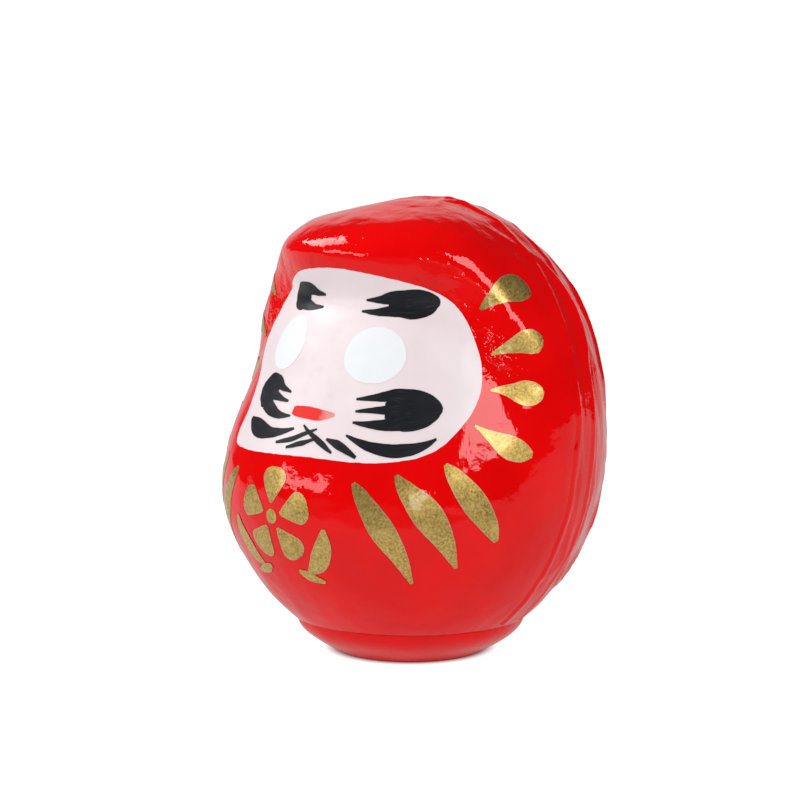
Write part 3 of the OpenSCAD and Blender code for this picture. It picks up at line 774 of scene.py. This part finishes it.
# Each stroke's points are an angle from the front in degrees, positive to the doll's
# left, then a height and a width in millimetres
ink_marks = {
    "left_brow": [
        [(24, 94.6, 2), (28, 94.8, 5.6), (34, 95, 7.4), (40.5, 95.2, 6.6), (45, 95.3, 3.8),
         (47, 95.1, 1)],
        [(12.8, 95.7, 0.5), (19, 95.8, 1.8), (25.5, 96.4, 3.4), (32, 96.7, 3.6)],
        [(11.6, 92.9, 0.5), (18, 92.8, 1.6), (24.5, 93.1, 2.6), (32, 93.5, 3.6)]],
    "right_brow": [
        [(-22, 95.4, 3), (-25.5, 95.4, 7), (-30, 95.3, 7), (-34, 95.2, 4.6), (-37, 95.2, 1)],
        [(-10.8, 96.3, 0.5), (-16, 96.7, 1.8), (-21, 97.5, 3.4), (-26, 97.3, 3.6)],
        [(-10.8, 93.3, 0.5), (-17, 93, 1.6), (-22, 93.3, 2.6), (-27, 93.8, 3.6)]],
    "left_moustache": [
        [(28, 69.3, 3.6), (32.5, 69.4, 9.4), (38, 69.6, 9.8), (43, 69.8, 7.6), (46, 69.7, 4.4),
         (47.5, 69.5, 1)],
        [(17.1, 71.8, 0.5), (24, 72.3, 1.7), (31, 72.9, 3.2), (36, 72.6, 4)],
        [(17.5, 68.9, 0.5), (24, 69.3, 1.5), (29.5, 69.5, 2.4), (35, 69.6, 3.5)],
        [(17.2, 66.2, 0.5), (24, 65.9, 1.9), (30, 66, 3), (36, 66.8, 4)]],
    "right_moustache": [
        [(-20.5, 70.4, 3.6), (-23.5, 71.2, 8.4), (-26.5, 71.8, 8.6), (-29.5, 72, 6),
         (-32, 72.2, 1.5)],
        [(-12.3, 72.1, 0.5), (-17, 72.8, 1.6), (-21.5, 74, 3.2), (-25, 74, 3.6)],
        [(-12.2, 69.8, 0.5), (-16.5, 70.2, 1.4), (-20.5, 70.7, 2.4), (-24.5, 70.8, 3.4)],
        [(-8.9, 66.4, 0.5), (-14, 66.3, 1.8), (-19, 67, 3), (-24.5, 68.6, 3.6)]],
    "left_jaw_beard": [
        [(15.6, 63.1, 0.5), (20, 61.7, 1.6), (25, 60.5, 2.6), (31.2, 59.8, 3.3), (37, 60.2, 2.9),
         (41.5, 61.2, 1.8), (45.2, 62.7, 0.5)]],
    "right_jaw_beard": [
        [(-5.1, 63.6, 0.5), (-10.5, 62.4, 1.8), (-16, 61.8, 2.8), (-21.5, 62, 4.2),
         (-26.5, 62.8, 4), (-30.5, 64.2, 1)]],
    "chin_whiskers": [
        [(4.4, 64, 0.4), (0.3, 62.8, 1), (-5, 61, 1.3), (-11.3, 59.8, 0.6)],
        [(4.6, 61.6, 0.5), (-0.5, 60.3, 1.3), (-6, 59, 0.6)],
        [(-1.4, 64.6, 0.4), (2, 63, 1), (7, 60.8, 1.5), (11.6, 58.7, 0.6)],
        [(8.8, 61.9, 0.6), (14, 60.5, 2.1), (19.9, 58, 0.8)]],
}
for name, strokes in ink_marks.items():
    coat_on(brushed(name, strokes, ink, over_ground), name)


# ---- mouth ----
# One stroke of vermilion, worked until the brush ran dry at the doll's left, where
# the pale ground shows through.
vermilion, tree, shader, where = new_finish("vermilion_mouth", Specular_IOR_Level=0.35)
speck = grain(tree, where, 700.0, 2.0)
dry = (kept_value(tree, "along") + (speck - 0.5) * 0.35).smooth(0.62, 0.9)
coloured(tree, shader, dry * 0.75, (0.80, 0.012, 0.010), (0.82, 0.36, 0.34))
plug(tree, speck.between(0.3, 0.5), shader.inputs["Roughness"])
bumps(tree, shader, speck, 0.04 * MM)
lips = [(-8.4, 67.9, 1.7), (-6.6, 67.8, 2.5), (-1, 67.7, 2.9), (4, 67.4, 2.7), (7.4, 67.6, 1.8),
        (9.8, 67.7, 0.7)]
coat_on(brushed("mouth", [lips], vermilion, over_ground), "mouth")


# ---- gold strokes ----
# Seven strokes of metallic gold paint fan out round each side of the face. The flake
# lies unevenly, darker where it is thin, and the lacquer warms each stroke's edge.
gold, tree, shader, where = new_finish(
    "gold_paint", Metallic=0.9, Coat_Weight=0.4, Coat_Roughness=0.05, Coat_IOR=1.5)
flake = grain(tree, where, 1700.0, 3.0, 0.7)
patchy = grain(tree, where, 260.0, 2.0, seed=2.0)
leaf = tint(tree, flake.smooth(0.32, 0.68), (0.38, 0.22, 0.045), (0.92, 0.66, 0.20))
leaf = tint(tree, patchy.smooth(0.35, 0.75) * 0.4, leaf, (0.98, 0.76, 0.26))
rim = (kept_value(tree, "across").math("ABSOLUTE") + (flake - 0.5) * 0.12).smooth(0.86, 0.97)
coloured(tree, shader, rim * 0.8, leaf, (0.85, 0.52, 0.28))
plug(tree, flake.between(0.3, 0.56), shader.inputs["Roughness"])
bumps(tree, shader, flake, 0.05 * MM)
gold_strokes = [
    [(61.6, 93.8, 0.6), (65.5, 96.6, 3.6), (71, 98.7, 6.2), (77, 98.8, 6.4), (81, 98.1, 4),
     (82.6, 97.7, 1.2)],
    [(65.3, 82.6, 0.5), (70, 84.2, 2.6), (76, 85.7, 6), (79.8, 85.5, 5.2), (81.4, 85.2, 1.8)],
    [(64.4, 73.9, 0.5), (69, 73.8, 2.4), (75, 73, 6.2), (78.6, 73.4, 4.8), (80.3, 73.7, 1.4)],
    [(57.9, 65.6, 0.5), (61.8, 63.4, 2.4), (67.5, 60.3, 6), (72, 58.7, 5.4), (75.1, 57.8, 1.6)],
    [(47.6, 56.6, 1), (50.2, 53.6, 4.4), (55.6, 47.2, 6.8), (60.6, 40.6, 4.6), (63, 36.6, 1.2)],
    [(32.8, 54, 1), (35.6, 50.6, 4.4), (42, 44.2, 7.8), (47.4, 36.8, 4.8), (51.2, 30, 0.8)],
    [(19.9, 51.8, 1), (22.6, 48.6, 3.8), (28.6, 40.6, 6.6), (33.8, 33, 4.2), (37.4, 26, 0.8)],
]
upper_strokes, right_lower_turn = 4, -9
for i, path in enumerate(gold_strokes, start=1):
    mirror_turn = right_lower_turn if i > upper_strokes else 0
    mirrored = [(mirror_turn - turn, height, wide) for turn, height, wide in path]
    for name, stroke in ((f"left_gold_stroke_{i}", path), (f"right_gold_stroke_{i}", mirrored)):
        coat_on(brushed(name, [stroke], gold, on_lacquer, Seed=float(i)), name)


# ---- gold ornament ----
# A five-petalled blossom over two sprays of leaves on the belly, in the same gold
# paint: nine touches of the brush and a round heart.
# The turn is in degrees and the sizes are in millimetres
blossom_turn, blossom_z, blossom_r, petal_in, petal_w = -8.0, 41.5, 12.5, 3.4, 8.2
# The belly's radius there, less the bit that the hollow of the face takes off it
lower_half_h, hollow_there = 59.48, 0.55
below_waist = (blossom_z - waist_z / MM) / lower_half_h
belly_r = body_r / MM * math.sqrt(1 - below_waist ** 2) - hollow_there
degree_mm = belly_r * rad(1)


def from_blossom(distance, angle, wide=0.0):
    """A point at a distance and a direction from the blossom's centre."""
    return (blossom_turn + distance * math.sin(rad(angle)) / degree_mm,
            blossom_z + distance * math.cos(rad(angle)), wide)


touches = []
for k in range(5):
    touches.append([from_blossom(r, 72 * k, w) for r, w in (
        (petal_in, 0.8), (0.45 * blossom_r, 4), (0.74 * blossom_r, petal_w),
        (0.92 * blossom_r, 0.82 * petal_w), (blossom_r, 3))])
for side in (-1, 1):
    touches.append([from_blossom(r, side * a, w) for r, a, w in (
        (16.5, 96, 1), (17, 112, 4.6), (17.2, 130, 5), (17, 148, 1))])
    touches.append([from_blossom(r, side * a, w) for r, a, w in (
        (15, 158, 0.8), (17.5, 150, 2.6), (21.5, 140, 0.8))])
blossom = brushed("gold_ornament", touches, gold, on_lacquer)
heart_r = 1.9
heart_edge = drawn("heart", [[from_blossom(heart_r, -a) for a in range(0, 360, 30)]], loop=True)
heart = grown("blossom_heart", patch_tree, heart_edge, film, Body=form,
              Middle_turn=blossom_turn, Middle_height=blossom_z, Points=36, Rings=5,
              Lift=on_lacquer, Wobble=0.15, Finish=gold)
with bpy.context.temp_override(active_object=blossom, selected_editable_objects=[blossom, heart]):
    bpy.ops.object.join()
coat_on(blossom, "gold_ornament")
bpy.data.objects.remove(form)


# ---- table and light ----
# A white sweep under the doll and four soft boxes: a square one and a small low one on
# its left, a broad one high on its right, and a long low one in front.
floor_form = bmesh.new()
bmesh.ops.create_circle(floor_form, cap_ends=True, segments=96, radius=40.0)
floor_mesh = bpy.data.meshes.new("floor")
floor_form.to_mesh(floor_mesh)
floor_form.free()
floor = bpy.data.objects.new("floor", floor_mesh)
bpy.context.scene.collection.objects.link(floor)
sweep, tree, shader, where = new_finish("white_sweep", Roughness=0.6, Specular_IOR_Level=0.0)
wx, wy, _ = xyz(tree, where)
away = (wx * wx + wy * wy).math("SQRT")
# Painted contact shadow: under the dish, inside 19 to 24 mm of the middle, the sweep doesn't glow
glow_past_shadow = away.smooth(19 * MM, 24 * MM)
coloured(tree, shader, glow_past_shadow, (0.60, 0.60, 0.60), (0.15, 0.15, 0.15))
shader.inputs["Emission Color"].default_value = (1.0, 1.0, 1.0, 1.0)
# The sweep glows of itself: to the camera it is burnt out to white, with a painted contact shadow,
# grey only under the dish, where it doesn't glow. In the light it throws on the doll its glow is a
# little dimmer, and in the lacquer dimmer still, and it ends a hand's breadth in front of the
# doll, where the dark room begins.
view_az = rad(37)
front = wx * math.sin(view_az) - wy * math.cos(view_az)
to_left = wx * math.cos(view_az) + wy * math.sin(view_az)
dark_room = front.smooth(0.13, 0.2) * (1 - to_left.smooth(0.08, 0.3))
path = tree.nodes.new("ShaderNodeLightPath")
seen, mirrored = (Field(tree, path.outputs[ray]) for ray in ("Is Camera Ray", "Is Glossy Ray"))
for_others = mirrored.between(0.72, (1 - dark_room * 0.95) * 0.42)
plug(tree, glow_past_shadow * seen.between(for_others, 1.0), shader.inputs["Emission Strength"])
floor_mesh.materials.append(sweep)

world = bpy.data.worlds.new("studio")
bpy.context.scene.world = world
world.use_nodes = True
tree = world.node_tree
sky = tree.nodes["Background"]
path = tree.nodes.new("ShaderNodeLightPath")
looking, glossy = (Field(tree, path.outputs[ray]) for ray in ("Is Camera Ray", "Is Glossy Ray"))
dx, dy, dz = xyz(tree, tree.nodes.new("ShaderNodeTexCoord").outputs["Generated"])
behind_doll = dy * math.cos(view_az) - dx * math.sin(view_az)
mirrored_room = behind_doll.smooth(0.78, 0.93).between(0.03, 0.6)
right_front = dx * math.sin(rad(10)) - dy * math.cos(rad(10))
daylight = dz.smooth(-0.3, 1.0).between(0.22, 0.5) + right_front.smooth(0.0, 1.0) * 0.42
plug(tree, looking.between(glossy.between(daylight, mirrored_room), 1.05), sky.inputs["Strength"])
sky.inputs["Color"].default_value = (1.0, 1.0, 1.0, 1.0)


doll_middle = Vector((0, 0, doll_h / 2))


def direction(azimuth, elevation):
    """The way from the doll to a place round it, 0, 0 being straight in front."""
    return Vector((math.sin(azimuth) * math.cos(elevation),
                   -math.cos(azimuth) * math.cos(elevation), math.sin(elevation)))


def soft_box(name, azimuth, elevation, distance, width, height, glow):
    """A soft box that faces the doll, glow being its brightness as it is seen."""
    back = direction(rad(azimuth), rad(elevation))
    lamp = bpy.data.lights.new(name, "AREA")
    lamp.shape = "RECTANGLE"
    lamp.size, lamp.size_y = width, height
    lamp.energy = glow * math.pi * width * height
    box = bpy.data.objects.new(name, lamp)
    faced = back.to_track_quat("Z", "Y").to_matrix().to_4x4()
    box.matrix_world = Matrix.Translation(doll_middle + back * distance) @ faced
    bpy.context.scene.collection.objects.link(box)


# Direction in degrees, distance, width and height in metres, and brightness
soft_box("box_left", 78, 32, 1.2, 0.42, 0.42, 7.0)
soft_box("box_near", 40, 8, 1.4, 0.24, 0.2, 8.5)
soft_box("box_high", -80, 44, 1.2, 0.66, 0.56, 6.8)
soft_box("box_front", -32, 15, 1.3, 0.8, 0.22, 5.0)


# ---- camera ----
# A long lens a little above the doll's waist, to its left.
view_elevation, view_distance = rad(8.2), 705 * MM
target = Vector((0, 0, 58.7 * MM))
back = direction(view_az, view_elevation)
right = Vector((math.cos(view_az), math.sin(view_az), 0))
lens = bpy.data.cameras.new("camera")
lens.lens, lens.sensor_width = 119.35, 36.0
lens.shift_x, lens.shift_y = -0.0129, 0.0366
lens.clip_start, lens.clip_end = 0.01, 200.0
camera = bpy.data.objects.new("camera", lens)
turn_to = Matrix((right, back.cross(right), back)).transposed().to_4x4()
camera.matrix_world = Matrix.Translation(target + back * view_distance) @ turn_to
bpy.context.scene.collection.objects.link(camera)
bpy.context.scene.camera = camera
bpy.context.scene.view_settings.view_transform = "Standard"
